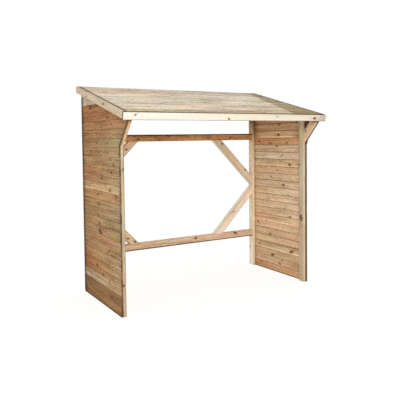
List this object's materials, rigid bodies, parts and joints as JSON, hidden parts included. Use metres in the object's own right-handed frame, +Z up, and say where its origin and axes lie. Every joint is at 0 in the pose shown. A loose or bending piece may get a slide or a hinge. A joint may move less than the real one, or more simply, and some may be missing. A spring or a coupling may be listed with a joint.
{
  "type": "firewood shelter",
  "caption": "Open-fronted timber firewood shelter with boarded side walls, a braced open back and a boarded roof that falls to the front.",
  "frame": {"origin": "on the ground, under the middle of the roof", "axes": "+X along the width, +Y from the open front to the back, +Z up"},
  "size_m": [2.084, 1.091, 1.9303],
  "materials": {
    "post_timber": "sawn, matt",
    "wall_boards": "sawn, matt",
    "brace_timber": "sawn, matt",
    "lower_rail_timber": "sawn, matt",
    "upper_rail_timber": "sawn, matt",
    "rafter_timber": "sawn, matt",
    "fascia_board": "sawn, matt",
    "bargeboard_timber": "sawn, matt",
    "roof_boards": "sawn, matt"
  },
  "bodies": {
    "root": {"left_front_post": "post_timber", "left_back_post": "post_timber", "right_front_post": "post_timber", "right_back_post": "post_timber", "left_lower_cladding": "wall_boards", "left_upper_cladding": "wall_boards", "right_lower_cladding": "wall_boards", "right_upper_cladding": "wall_boards", "left_knee_brace": "brace_timber", "right_knee_brace": "brace_timber", "left_upper_brace": "brace_timber", "left_lower_brace": "brace_timber", "right_upper_brace": "brace_timber", "right_lower_brace": "brace_timber", "lower_back_rail": "lower_rail_timber", "upper_back_rail": "upper_rail_timber", "left_rafter": "rafter_timber", "middle_rafter": "rafter_timber", "right_rafter": "rafter_timber", "front_fascia": "fascia_board", "left_bargeboard": "bargeboard_timber", "right_bargeboard": "bargeboard_timber", "roof_board_1": "roof_boards", "roof_board_2": "roof_boards", "roof_board_3": "roof_boards", "roof_board_4": "roof_boards", "roof_board_5": "roof_boards", "roof_board_6": "roof_boards", "roof_board_7": "roof_boards", "roof_board_8": "roof_boards", "roof_board_9": "roof_boards", "roof_board_10": "roof_boards"}
  },
  "joints": []
}
